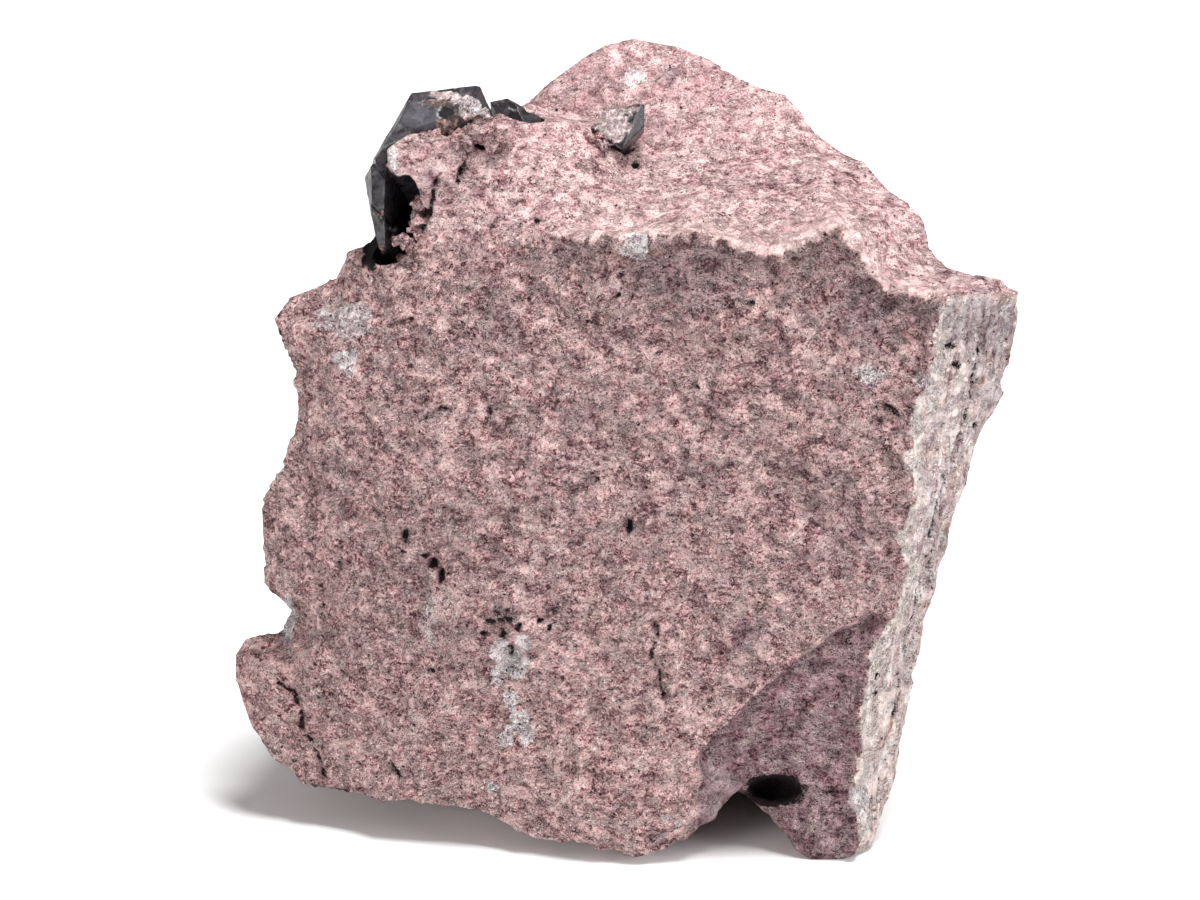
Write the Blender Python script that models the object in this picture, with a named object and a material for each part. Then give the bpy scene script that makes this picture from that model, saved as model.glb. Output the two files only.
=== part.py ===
"""Garnet in matrix: a hand-sized block of pink rhyolite with dark garnet crystals on its upper left corner.

Millimetres are used throughout and turned into metres at the end. +X is the viewer's right, +Y runs away
from the viewer and +Z is up, with the origin on the table under the middle of the block.

The block broke out of the rock along rough planes. Its forms are laid out on a drawing plane that leans
back by LEAN_DEG and stands on the foot of the block: across is measured to the right from near the block's
middle, up runs along the plane, and deep is how far a point lies behind the broad front fracture.
"""

import math

import bmesh
import bpy
from mathutils import Matrix, Vector, geometry, noise

MM = 0.001

# The drawing plane, the table below its foot, and the broad front fracture.
LEAN_DEG = 20.0
TABLE_Z = -1.1
FRONT_LEAN = -0.213  # the front fracture comes forward by this much for each mm up the drawing plane
FRONT_YAW = 0.15  # and falls back by this much for each mm to the left
FRONT_RIGHT = 18.0  # across, where the front fracture meets the drawing plane at the foot

# How near two points are taken as one, and how near a cut a point is taken to lie on it.
WELD = 1e-5
CUT_TOLERANCE = 0.01

# Mesh size, softening passes and surface relief of the block.
FRONT_EDGE = 2.0
BACK_EDGE = 3.6
SOFTENING = 0.5
FRONT_SOFTENING = 1
BACK_SOFTENING = 10
KEPT_RIDGE = math.radians(24)
LUMP_HEIGHT, LUMP_SIZE = 0.6, 6.5
CHIP_HEIGHT, CHIP_SIZE = 0.4, 2.6
RIM_SHARE = 0.4
SWELL = 0.2  # outwards everywhere, for what the flat facets cut off a rounded form

# The garnets: each has its middle as (across, up, back) on the drawing plane, and its crystal faces as
# (turn, rise, reach). Turn is the angle to the right of the viewer, rise the angle up, and reach how far
# the face lies from the middle. Each is cut from a rough cube that is larger than any of its faces.
SOCKET_GAP = 0.3
ROUGH_CUBE = 40.0
UPPER_GARNET = (-14.6, 54.8, 1.5)
UPPER_FACES = [
    (-10, 28, 5.4), (-3, 45, 5.3), (-77, 28, 4.3), (-28, 4, 5.5), (-9, -8, 5.1), (5, -8, 4.7),
    (-96, 31, 3.5), (-146, 76, 3.8), (-151, 76, 3.9), (97, 26, 4.9), (62, 15, 5.1), (7, -50, 2.3),
    (-79, -23, 5.1), (81, -24, 3.9), (180, -85, 4.2), (180, 45, 5.7), (-133, 18, 5.1), (180, 0, 5.0),
]
LOWER_GARNET = (-18.0, 50.5, 1.7)
LOWER_FACES = [
    (-2, 30, 3.4), (-30, 7, 2.9), (-35, -3, 2.9), (-72, 1, 2.2), (-37, -51, 4.0), (64, 1, 0.8),
    (-94, -7, 1.8), (-96, -14, 1.5), (-102, 47, 3.0), (-99, -26, 2.6), (48, -59, 3.4), (90, 0, 2.2),
    (180, 0, 3.4), (20, -60, 4.0), (-120, 10, 3.0),
]
SECOND_GARNET = (-8.9, 56.9, 2.6)
SECOND_FACES = [
    (-6, 17, 2.2), (38, 32, 2.2), (-135, 72, 1.5), (106, 60, 1.3), (-83, -26, 0.85), (90, -5, 2.3),
    (0, -90, 2.0), (180, 0, 2.6), (180, 50, 2.6),
]
SMALL_GARNET = (-0.6, 56.3, 1.8)
SMALL_FACES = [
    (-18, 18, 1.6), (41, -6, 2.1), (-168, 69, 1.2), (-104, 44, 1.5), (-90, -56, 1.1), (90, 0, 2.0),
    (83, -41, 1.4), (180, 0, 1.9), (180, 50, 1.9),
]

# Hollows in the block, each an ellipsoid: middle (across, up, back), then half sizes the same three ways.
GARNET_GAP = ((-16.9, 50.6, -1.0), (1.6, 3.1, 3.4))
GARNET_GAP_FOOT = ((-18.2, 46.8, -0.4), (1.7, 1.1, 2.6))
FOOT_HOLE = ((11.4, 5.5, 1.8), (2.35, 1.15, 4.6))

# The outline of the block, clockwise from its peak: (across, up, deep).
TOP_RIM = [
    (0.6, 63.5, 20.0), (4.0, 62.8, 20.0), (7.6, 61.3, 19.5), (8.8, 60.3, 19.5), (12.1, 59.1, 18.5),
    (13.4, 58.0, 18.0), (14.6, 56.2, 17.5), (16.8, 54.6, 17.0), (18.5, 54.0, 16.0), (20.2, 51.8, 13.5),
    (21.9, 50.4, 11.5), (22.6, 49.6, 10.5), (23.2, 47.1, 8.8), (24.5, 45.7, 7.2), (28.7, 44.5, 7.5),
]
RIGHT_RIM = [
    (29.8, 43.2, 8.5), (30.0, 42.2, 9.0), (29.3, 38.3, 9.0), (28.6, 37.0, 8.5), (28.8, 36.2, 8.5),
    (26.9, 32.5, 8.0), (25.5, 27.6, 7.5), (24.1, 22.4, 7.0), (22.9, 16.2, 7.0), (21.1, 9.8, 8.0),
    (20.9, 6.5, 8.0), (18.9, 1.0, 5.5),
]
FOOT_RIM = [
    (16.8, 0.1, 3.5), (14.3, 0.1, 3.0), (13.1, 0.8, 3.0), (11.2, 3.8, 4.0), (9.6, 4.7, 4.5), (8.9, 5.9, 4.5),
    (6.5, 3.2, 2.5), (3.7, 1.8, 1.0), (3.1, 1.1, 0.6), (0.6, 0.5, 0.2), (-2.2, 1.2, 0.4), (-4.2, 1.8, 0.6),
    (-6.8, 1.8, 0.8), (-11.3, 3.9, 1.2), (-17.8, 4.8, 1.8), (-20.2, 4.9, 2.4), (-25.0, 5.9, 4.0),
]
LEFT_RIM = [
    (-27.5, 8.0, 4.5), (-29.3, 10.8, 5.0), (-30.3, 14.2, 6.0), (-30.3, 15.7, 6.5), (-29.6, 17.0, 7.0),
    (-26.7, 17.6, 7.5), (-26.0, 19.2, 7.5), (-26.7, 20.0, 7.0), (-28.1, 21.4, 6.5), (-28.1, 27.6, 6.0),
    (-26.4, 30.4, 5.5), (-25.3, 33.0, 5.5), (-25.4, 37.8, 6.0), (-26.2, 39.2, 6.0), (-27.1, 41.8, 6.5),
    (-25.7, 43.5, 7.0), (-22.2, 44.9, 7.5), (-21.4, 47.1, 8.0),
]
GARNET_CORNER_RIM = [
    (-19.6, 47.6, 8.5), (-18.9, 50.5, 8.5), (-19.1, 53.4, 7.5), (-18.5, 55.5, 7.5), (-15.6, 56.6, 8.5),
    (-12.6, 57.4, 9.5), (-9.6, 57.2, 11.5), (-7.6, 58.4, 17.0), (-4.9, 60.9, 18.5), (-1.6, 63.0, 19.5),
]

# Ridges and points of the front, each a run of (across, up, deep).
TOP_RIDGE = [
    (-4.7, 48.0, 0.8), (-2.0, 47.4, 0.3), (1.1, 47.4, 0.0), (5.7, 47.6, -0.3), (8.4, 46.9, 0.0),
    (10.9, 46.2, 0.8), (13.4, 47.2, 0.2), (15.8, 48.6, 0.0), (17.1, 47.5, 0.5), (18.2, 45.4, 1.0),
    (19.9, 43.6, 1.2), (22.2, 43.3, 0.6), (23.8, 43.0, 0.3),
]
BEHIND_RIDGE = [
    (-2.0, 48.3, 2.4), (1.1, 48.3, 2.4), (5.7, 48.5, 2.2), (8.6, 47.9, 2.4), (10.9, 47.1, 2.6),
    (13.1, 48.3, 3.2), (15.9, 49.5, 3.8), (18.0, 48.0, 4.0), (19.3, 46.0, 4.2), (21.4, 44.5, 3.4),
]
FRONT_RIGHT_EDGE = [
    (23.8, 43.0, 0.3), (23.4, 39.8, 0.1), (22.5, 36.4, 0.0), (21.7, 34.0, 0.3), (21.6, 31.2, 0.0),
    (21.6, 28.2, 0.0), (20.6, 25.0, 0.0), (21.1, 22.6, 0.2), (20.0, 19.0, 0.3), (18.5, 16.2, 0.8),
    (17.9, 12.2, 2.0), (17.9, 9.2, 2.8), (17.4, 6.3, 3.2), (17.6, 3.4, 3.2), (17.4, 1.6, 3.2),
]
STRIP_CREASE = [
    (27.0, 42.0, 4.6), (26.8, 37.5, 4.6), (25.6, 33.0, 4.4), (24.4, 28.0, 4.2), (23.2, 22.5, 4.0),
    (21.4, 16.2, 4.2), (19.8, 9.8, 5.2), (19.4, 5.4, 5.6),
]
SHELF = [
    (4.0, 50.6, 6.0), (11.0, 50.2, 6.8), (16.6, 51.0, 8.4), (20.6, 47.2, 7.0), (-1.0, 51.4, 7.0),
    (2.6, 54.6, 13.2), (8.5, 54.2, 13.2), (14.0, 53.6, 13.4), (25.8, 43.9, 4.0),
]
BACK_SLOPE = [
    (0.2, 59.4, 17.6), (5.2, 58.2, 17.0), (10.0, 57.0, 16.4), (-3.6, 58.9, 17.4),
]
LOBE_CREST = [
    (-12.4, 56.6, 4.9), (-10.5, 56.6, 6.6), (-8.5, 56.6, 7.4), (-6.2, 56.6, 8.0), (-2.8, 56.5, 9.4),
    (-0.8, 55.7, 11.0), (0.6, 54.9, 13.0),
]
BEHIND_LOBE = [(-6.4, 57.8, 16.4), (-3.0, 57.5, 16.4), (-0.6, 56.7, 16.0)]
TONGUE_EDGE = [
    (-18.1, 53.7, 2.6), (-18.2, 54.8, 2.6), (-16.6, 55.5, 2.4), (-14.4, 55.5, 2.5), (-13.2, 55.4, 3.0),
]
UNDER_TONGUE = [
    (-18.6, 53.7, 6.5), (-18.5, 55.0, 6.5), (-16.6, 56.0, 6.5), (-14.4, 56.0, 6.5), (-12.9, 55.9, 5.4),
]
LOBE_FACE = [
    (-17.2, 52.2, 3.0), (-15.0, 53.6, 2.6), (-12.0, 54.0, 3.6), (-14.6, 50.0, 3.0),
    (-9.0, 53.0, 4.4), (-5.6, 52.6, 4.8), (-17.4, 47.4, 3.6), (-12.8, 46.6, 2.2), (-8.0, 47.8, 1.9),
]
FACE_POINTS = [
    (-15.1, 43.2, 1.4), (-10.5, 39.4, 0.2), (-5.8, 41.5, -0.1), (-2.0, 44.0, -0.2), (4.0, 40.0, 0.1),
    (12.0, 40.0, 0.2), (18.5, 39.0, 0.4), (-4.0, 34.0, -0.5), (4.0, 31.0, -0.3), (12.5, 30.0, 0.2),
    (-8.0, 28.0, -0.9), (0.0, 24.0, -0.7), (9.0, 22.0, -0.4), (15.5, 23.0, 0.0),
]
LEFT_BREAK = [
    (-21.6, 34.5, 1.2), (-18.0, 30.0, 0.2), (-15.4, 24.6, 0.1), (-13.6, 21.4, -0.2),
]
LEFT_FACET = [
    (-22.6, 40.2, 2.6), (-24.4, 33.8, 4.4), (-24.6, 28.0, 3.6), (-22.0, 22.6, 2.4), (-20.0, 27.0, 1.8),
    (-20.6, 44.0, 4.2), (-18.6, 38.4, 1.4),
]
LOW_LEFT_FACE = [
    (-21.8, 17.8, 2.6), (-25.6, 13.0, 3.6), (-28.6, 14.6, 4.6), (-18.0, 12.0, 1.0), (-22.8, 9.0, 3.0),
    (-11.0, 12.0, 0.2), (-14.6, 17.4, 0.6), (-15.0, 7.6, 0.8),
]
LOW_FACE = [
    (-6.6, 14.0, -0.9), (-7.0, 8.0, -0.3), (0.4, 14.0, -0.6), (0.0, 6.6, -1.2), (-3.4, 3.6, -0.4),
    (4.0, 4.4, -0.2), (4.6, 9.4, -0.5),
]
SCOOP_ARC = [
    (18.5, 18.8, 0.3), (16.0, 17.8, 0.0), (13.0, 15.6, 0.0), (11.0, 14.0, 0.0), (9.0, 11.9, 0.1),
    (7.0, 9.6, 0.3), (6.3, 8.0, 0.6),
]
SCOOP = [
    (15.6, 14.4, 1.9), (12.4, 11.2, 2.0), (9.4, 9.0, 2.0), (14.8, 8.0, 3.0), (8.0, 7.6, 2.4),
    (15.0, 3.4, 2.6),
]

# The unseen back, and the underside, which runs below the table and is cut flat there.
BACK_CORNERS = [
    (0.5, 61.0, 25.0), (9.5, 57.2, 24.5), (16.5, 51.0, 24.0), (21.5, 44.0, 22.0), (25.5, 39.6, 18.5),
    (24.4, 30.0, 22.0), (21.0, 20.0, 25.0), (19.0, 10.0, 26.0), (-22.5, 10.5, 24.0), (-25.4, 17.6, 22.5),
    (-28.4, 14.4, 10.5), (-23.8, 29.6, 22.5), (-22.4, 39.4, 20.5), (-17.0, 48.4, 19.0), (-8.8, 55.2, 21.5),
]
BACK_FACE = [
    (2.0, 46.0, 30.0), (13.0, 40.0, 30.0), (-9.0, 42.0, 28.0), (-11.0, 28.0, 31.5), (5.0, 30.0, 34.0),
    (16.0, 26.0, 30.0), (-3.0, 16.5, 35.0), (11.0, 17.0, 34.0), (-16.0, 17.0, 30.0),
]
UNDERSIDE = [
    (-19.0, 7.0, 20.0), (-9.0, 4.4, 15.5), (-1.0, 1.8, 9.0), (5.0, 4.0, 13.0), (9.2, 6.4, 18.0),
    (15.5, 1.6, 12.0), (18.4, 2.8, 13.0), (-14.0, 9.6, 30.0), (2.0, 8.8, 30.0), (14.0, 9.4, 30.0),
]


def front_plane(across, up):
    """How far the broad front fracture lies behind the drawing plane there."""
    return FRONT_LEAN * up + FRONT_YAW * (FRONT_RIGHT - across)


def at(across, up, deep):
    """The point in the model's frame, in mm."""
    back = front_plane(across, up) + deep
    lean = math.radians(LEAN_DEG)
    return Vector((
        across,
        up * math.sin(lean) + back * math.cos(lean),
        up * math.cos(lean) - back * math.sin(lean),
    ))


def clear_scene():
    for obj in list(bpy.data.objects):
        bpy.data.objects.remove(obj)


def new_collection(name):
    collection = bpy.data.collections.new(name)
    bpy.context.scene.collection.children.link(collection)
    return collection


def material(name, colour, roughness):
    made = bpy.data.materials.new(name)
    made.use_nodes = True
    shader = made.node_tree.nodes["Principled BSDF"]
    shader.inputs["Base Color"].default_value = (*colour, 1.0)
    shader.inputs["Roughness"].default_value = roughness
    return made


def sheet(bm, rim, rim_verts, runs, points, flip):
    """Fills the rim with triangles through the points, and keeps each run of points as an edge."""
    layout = list(rim)
    verts = list(rim_verts)
    edges = [(i, (i + 1) % len(rim)) for i in range(len(rim))]
    for run in runs:
        ids = []
        for point in run:
            if point not in layout:
                layout.append(point)
                verts.append(bm.verts.new(at(*point)))
            ids.append(layout.index(point))
        edges += list(zip(ids, ids[1:]))
    for point in points:
        layout.append(point)
        verts.append(bm.verts.new(at(*point)))
    flat = [Vector(p[:2]) for p in layout]
    _, _, faces, originals, _, _ = geometry.delaunay_2d_cdt(flat, edges, [], 1, WELD)
    for face in faces:
        corners = [verts[originals[i][0]] for i in face]
        bm.faces.new(reversed(corners) if flip else corners)


def refine(bm, layer):
    """Halves every edge that is too long until none is: the front, marked in the layer, is the finer."""
    long_edges = True
    while long_edges:
        long_edges = [
            e for e in bm.edges
            if e.calc_length() > (FRONT_EDGE if any(f[layer] for f in e.link_faces) else BACK_EDGE)
        ]
        bmesh.ops.subdivide_edges(bm, edges=long_edges, cuts=1)
        bmesh.ops.triangulate(bm, faces=bm.faces)


def soften(bm, layer):
    """Rounds off the straight facets, most of all on the back, and leaves outline and sharp ridges."""
    bm.normal_update()
    front = [
        v for v in bm.verts
        if all(f[layer] for f in v.link_faces) and max(e.calc_face_angle() for e in v.link_edges) < KEPT_RIDGE
    ]
    back = [v for v in bm.verts if not any(f[layer] for f in v.link_faces)]
    for verts, passes in ((front, FRONT_SOFTENING), (back, BACK_SOFTENING)):
        for _ in range(passes):
            bmesh.ops.smooth_vert(
                bm, verts=verts, factor=SOFTENING, use_axis_x=True, use_axis_y=True, use_axis_z=True,
            )


def roughen(bm, layer):
    """Moves the surface by the broad lumps and small chips of broken rhyolite, less at the outline."""
    bm.normal_update()
    moves = []
    for vert in bm.verts:
        lump = noise.fractal(vert.co / LUMP_SIZE, 1.0, 2.0, 3)
        chip = noise.noise(vert.co / CHIP_SIZE)
        sides = {face[layer] for face in vert.link_faces}
        share = RIM_SHARE if len(sides) == 2 else 1.0
        moves.append(vert.normal * share * (LUMP_HEIGHT * lump + CHIP_HEIGHT * chip + SWELL))
    for vert, move in zip(bm.verts, moves):
        vert.co += move


def cut_flat(bm):
    """Cuts the block off flat at the table and closes the cut."""
    bmesh.ops.bisect_plane(
        bm, geom=bm.verts[:] + bm.edges[:] + bm.faces[:], dist=CUT_TOLERANCE,
        plane_co=(0, 0, TABLE_Z), plane_no=(0, 0, 1), clear_inner=True,
    )
    bmesh.ops.holes_fill(bm, edges=[e for e in bm.edges if e.is_boundary])
    bmesh.ops.triangulate(bm, faces=bm.faces)


def on_plane(across, up, back):
    """A point given by across, up and back on the drawing plane, in the model's frame."""
    return at(across, up, back - front_plane(across, up))


def add_object(name, bm, collection, finish=None):
    mesh = bpy.data.meshes.new(name)
    bm.to_mesh(mesh)
    bm.free()
    obj = bpy.data.objects.new(name, mesh)
    if finish:
        mesh.materials.append(finish)
    collection.objects.link(obj)
    return obj


def hide_cutter(obj):
    obj.hide_render = True
    obj.display_type = "WIRE"


def crystal(name, middle, faces, grow, collection, finish=None):
    """A garnet crystal: a rough cube cut back to each of its faces, with every face moved out by grow."""
    bm = bmesh.new()
    bmesh.ops.create_cube(bm, size=ROUGH_CUBE)
    to_frame = Matrix.Rotation(math.radians(-LEAN_DEG), 3, "X")
    centre = on_plane(*middle)
    bmesh.ops.translate(bm, verts=bm.verts, vec=centre)
    for turn, rise, reach in faces:
        turn, rise = math.radians(turn), math.radians(rise)
        normal = to_frame @ Vector((
            math.sin(turn) * math.cos(rise), -math.cos(turn) * math.cos(rise), math.sin(rise)
        ))
        bmesh.ops.bisect_plane(
            bm, geom=bm.verts[:] + bm.edges[:] + bm.faces[:], dist=CUT_TOLERANCE,
            plane_co=centre + normal * (reach + grow), plane_no=normal, clear_outer=True,
        )
        bmesh.ops.holes_fill(bm, edges=[e for e in bm.edges if e.is_boundary])
    bmesh.ops.recalc_face_normals(bm, faces=bm.faces)
    return add_object(name, bm, collection, finish)


def hollow(name, middle, half_sizes, collection):
    """An ellipsoid that cuts a hollow."""
    bm = bmesh.new()
    wide, tall, long = half_sizes
    place = Matrix.Translation(on_plane(*middle)) @ Matrix.Rotation(math.radians(-LEAN_DEG), 4, "X")
    shape = Matrix.Diagonal((wide, long, tall, 1.0))
    bmesh.ops.create_icosphere(bm, subdivisions=2, radius=1.0, matrix=place @ shape)
    return add_object(name, bm, collection)


def boolean(obj, tool, operation):
    """Cuts the tool out of the object, or joins it on."""
    modifier = obj.modifiers.new(tool.name, "BOOLEAN")
    modifier.operation = operation
    modifier.solver = "EXACT"
    modifier.object = tool


def block(collection, finish):
    rim = TOP_RIM + RIGHT_RIM + FOOT_RIM + LEFT_RIM + GARNET_CORNER_RIM
    bm = bmesh.new()
    rim_verts = [bm.verts.new(at(*point)) for point in rim]
    front_runs = [
        TOP_RIDGE, BEHIND_RIDGE, FRONT_RIGHT_EDGE, STRIP_CREASE, LOBE_CREST, BEHIND_LOBE,
        TONGUE_EDGE, UNDER_TONGUE, LEFT_BREAK, SCOOP_ARC,
    ]
    top_points = SHELF + BACK_SLOPE + LOBE_FACE
    face_points = FACE_POINTS + LEFT_FACET + LOW_LEFT_FACE + LOW_FACE + SCOOP
    sheet(bm, rim, rim_verts, front_runs, top_points + face_points, flip=True)
    front = bm.faces.layers.int.new("front")
    for face in bm.faces:
        face[front] = 1
    sheet(bm, rim, rim_verts, [], BACK_CORNERS + BACK_FACE + UNDERSIDE, flip=False)
    refine(bm, front)
    soften(bm, front)
    bmesh.ops.recalc_face_normals(bm, faces=bm.faces)
    roughen(bm, front)
    cut_flat(bm)
    bmesh.ops.recalc_face_normals(bm, faces=bm.faces)
    return add_object("matrix", bm, collection, finish)


def stand_on_origin(objects, block_object):
    """Turns millimetres into metres and puts the origin on the table under the middle of the block."""
    widths = [vert.co.x for vert in block_object.data.vertices]
    depths = [vert.co.y for vert in block_object.data.vertices]
    middle_x = (min(widths) + max(widths)) / 2
    middle_y = (min(depths) + max(depths)) / 2
    place = Matrix.Scale(MM, 4) @ Matrix.Translation((-middle_x, -middle_y, -TABLE_Z))
    for obj in objects:
        obj.data.transform(place)


clear_scene()
parts = new_collection("garnet_in_matrix")
cutters = new_collection("cutters")
rhyolite = material("rhyolite", (0.42, 0.26, 0.25), 0.95)
garnet = material("garnet", (0.045, 0.04, 0.05), 0.3)

matrix = block(parts, rhyolite)
cluster = crystal("garnet_cluster", UPPER_GARNET, UPPER_FACES, 0, parts, garnet)
lower = crystal("lower_crystal", LOWER_GARNET, LOWER_FACES, 0, cutters)
boolean(cluster, lower, "UNION")
crystal("garnet_second", SECOND_GARNET, SECOND_FACES, 0, parts, garnet)
crystal("garnet_small", SMALL_GARNET, SMALL_FACES, 0, parts, garnet)

for tool in (
    crystal("upper_socket", UPPER_GARNET, UPPER_FACES, SOCKET_GAP, cutters),
    crystal("lower_socket", LOWER_GARNET, LOWER_FACES, SOCKET_GAP, cutters),
    crystal("second_socket", SECOND_GARNET, SECOND_FACES, SOCKET_GAP, cutters),
    crystal("small_socket", SMALL_GARNET, SMALL_FACES, SOCKET_GAP, cutters),
    hollow("garnet_gap", *GARNET_GAP, cutters),
    hollow("garnet_gap_foot", *GARNET_GAP_FOOT, cutters),
    hollow("foot_hole", *FOOT_HOLE, cutters),
):
    boolean(matrix, tool, "DIFFERENCE")

for tool in cutters.objects:
    hide_cutter(tool)
stand_on_origin([*parts.objects, *cutters.objects], matrix)
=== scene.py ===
"""A hand-sized block of pink rhyolite with dark garnet crystals in its upper left corner."""
import math

import bmesh
import bpy
import numpy as np
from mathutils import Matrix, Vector, noise


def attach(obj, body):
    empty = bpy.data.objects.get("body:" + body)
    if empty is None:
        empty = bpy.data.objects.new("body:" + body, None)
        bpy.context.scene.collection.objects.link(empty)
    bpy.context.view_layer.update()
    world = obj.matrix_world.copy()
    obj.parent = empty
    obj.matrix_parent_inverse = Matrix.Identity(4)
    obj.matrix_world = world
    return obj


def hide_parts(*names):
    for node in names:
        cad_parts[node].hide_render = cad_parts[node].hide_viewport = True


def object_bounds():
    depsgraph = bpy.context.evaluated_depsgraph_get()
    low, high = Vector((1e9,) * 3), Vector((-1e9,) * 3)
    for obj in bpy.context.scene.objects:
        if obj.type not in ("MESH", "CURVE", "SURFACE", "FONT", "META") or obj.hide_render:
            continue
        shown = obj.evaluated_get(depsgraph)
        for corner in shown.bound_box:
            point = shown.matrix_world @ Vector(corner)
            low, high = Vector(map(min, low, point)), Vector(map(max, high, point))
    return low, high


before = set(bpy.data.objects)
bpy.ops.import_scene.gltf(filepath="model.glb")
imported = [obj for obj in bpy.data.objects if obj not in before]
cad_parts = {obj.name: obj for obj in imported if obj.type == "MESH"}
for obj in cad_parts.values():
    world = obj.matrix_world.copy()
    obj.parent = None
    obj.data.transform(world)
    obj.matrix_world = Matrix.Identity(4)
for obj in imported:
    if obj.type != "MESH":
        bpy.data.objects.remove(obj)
cad_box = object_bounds()

# --- Camera ---
# The stone is seen from straight in front and a little above, through a long lens. Places on its front are
# given in mm on a plane that faces the camera: across to the right, up along the plane, back away from it.
MM = 0.001
LOOK_DOWN = math.radians(20.0)
PLANE_FOOT = Vector((0.127, -20.14, 1.1)) * MM
CAMERA_AWAY = 0.9
FRAME_MIDDLE = (-2.0, 31.7)
FRAME_WIDTH = 92.3
SENSOR = 36.0
ACROSS = Vector((1.0, 0.0, 0.0))
UP = Vector((0.0, math.sin(LOOK_DOWN), math.cos(LOOK_DOWN)))
BACK = Vector((0.0, math.cos(LOOK_DOWN), -math.sin(LOOK_DOWN)))


def on_plane(across, up, back=0.0):
    """The place in the frame of a point given across, up and back."""
    return PLANE_FOOT + (ACROSS * across + UP * up + BACK * back) * MM


camera_data = bpy.data.cameras.new("camera")
camera_data.sensor_width = SENSOR
camera_data.lens = SENSOR * CAMERA_AWAY / (FRAME_WIDTH * MM)
camera_data.clip_start = 0.05
camera = bpy.data.objects.new("camera", camera_data)
bpy.context.scene.collection.objects.link(camera)
camera.location = on_plane(*FRAME_MIDDLE) - BACK * CAMERA_AWAY
camera.rotation_euler = (math.pi / 2 - LOOK_DOWN, 0.0, 0.0)
bpy.context.scene.camera = camera

# --- Block of rhyolite ---
# One broken piece of pink, fine-grained volcanic rock with a pale weathered skin down its right side. The
# packed block is copied, its facets are cut small and rounded, and the hackly break, cracks and pits are worked
# in; what each point belongs to is painted on it, for its material to read.
SEEN_TURN = -0.2
FRONT_GRAIN = 0.43 * MM
BACK_GRAIN = 1.4 * MM
CUTTING_ROUNDS = 5
KEPT_EDGE = math.radians(40.0)
ROUNDING = 0.5
ROUNDING_PASSES = 6
WELD = 0.001 * MM
FOOT_LEVEL = 0.02 * MM
STRAY = 0.33 * MM
STRAY_PASSES = 3


def fresh_copy(node, name):
    """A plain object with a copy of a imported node's mesh, its double points merged, alone in edit mode."""
    bpy.ops.object.select_all(action="DESELECT")
    made = bpy.data.objects.new(name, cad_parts[node].data.copy())
    bpy.context.scene.collection.objects.link(made)
    bpy.context.view_layer.objects.active = made
    made.select_set(True)
    bpy.ops.object.mode_set(mode="EDIT")
    bpy.ops.mesh.select_mode(type="EDGE")
    bpy.ops.mesh.select_all(action="SELECT")
    bpy.ops.mesh.remove_doubles(threshold=WELD)
    return made


def cut_small(made, longest, rounds):
    """Halves the edges of the mesh in edit mode that are longer than longest(edge), some rounds over."""
    for _ in range(rounds):
        bpy.ops.mesh.select_all(action="DESELECT")
        shell = bmesh.from_edit_mesh(made.data)
        shell.normal_update()
        for edge in shell.edges:
            if edge.calc_length() > longest(edge):
                edge.select = True
        shell.select_flush_mode()
        bmesh.update_edit_mesh(made.data)
        bpy.ops.mesh.subdivide(number_cuts=1)
        bpy.ops.mesh.select_all(action="SELECT")
        bpy.ops.mesh.quads_convert_to_tris(quad_method="SHORTEST_DIAGONAL")


def on_foot(edge):
    """Whether an edge lies in the flat face that the stone rests on."""
    return all(vert.co.z < FOOT_LEVEL for vert in edge.verts)


def rock_grain(edge):
    """The longest edge allowed there: short on the front, longer on the back and underneath."""
    seen = max(-face.normal.dot(BACK) for face in edge.link_faces) > SEEN_TURN
    return FRONT_GRAIN if seen and not on_foot(edge) else BACK_GRAIN


block = fresh_copy("matrix", "rhyolite_block")
shell = bmesh.from_edit_mesh(block.data)
kept = shell.edges.layers.int.new("kept")
for edge in shell.edges:
    edge[kept] = int(on_foot(edge) or edge.calc_face_angle(0.0) > KEPT_EDGE)
cut_small(block, rock_grain, CUTTING_ROUNDS)
shell = bmesh.from_edit_mesh(block.data)
kept = shell.edges.layers.int["kept"]
bpy.ops.mesh.select_mode(type="VERT")
bpy.ops.mesh.select_all(action="DESELECT")
for vert in shell.verts:
    vert.select = not any(edge[kept] for edge in vert.link_edges)
bmesh.update_edit_mesh(block.data)
bpy.ops.mesh.vertices_smooth(factor=ROUNDING, repeat=ROUNDING_PASSES)
bpy.ops.object.mode_set(mode="OBJECT")

# The lines of the front, as runs of (across, up) in mm.
TOP_RIDGE = (
    (-4.7, 48.0), (-2.0, 47.4), (1.1, 47.4), (5.7, 47.6), (8.4, 46.9), (10.9, 46.2), (13.4, 47.2),
    (15.8, 48.6), (17.1, 47.5), (18.2, 45.4), (19.9, 43.5), (22.2, 43.3), (23.8, 43.0), (27.0, 43.4),
    (30.2, 43.6),
)
SKIN_EDGE = (
    (23.8, 43.0), (23.4, 39.8), (22.5, 36.4), (21.7, 34.8), (21.6, 32.5), (21.4, 31.3), (21.8, 28.2),
    (20.5, 25.2), (21.3, 22.8), (20.2, 19.2), (18.6, 16.3), (17.9, 12.2), (18.0, 9.2), (17.4, 6.3),
    (17.6, 3.2), (17.5, 0.0),
)
SCOOP_ARC = ((6.3, 8.8), (7.2, 10.2), (9.2, 12.1), (11.1, 14.0), (13.0, 15.5), (16.1, 17.8), (18.6, 19.2))
SKIN_GROOVE = ((27.5, 40.9), (26.6, 36.0), (25.3, 30.2), (24.5, 27.1), (23.4, 21.0), (21.6, 14.0))

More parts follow.
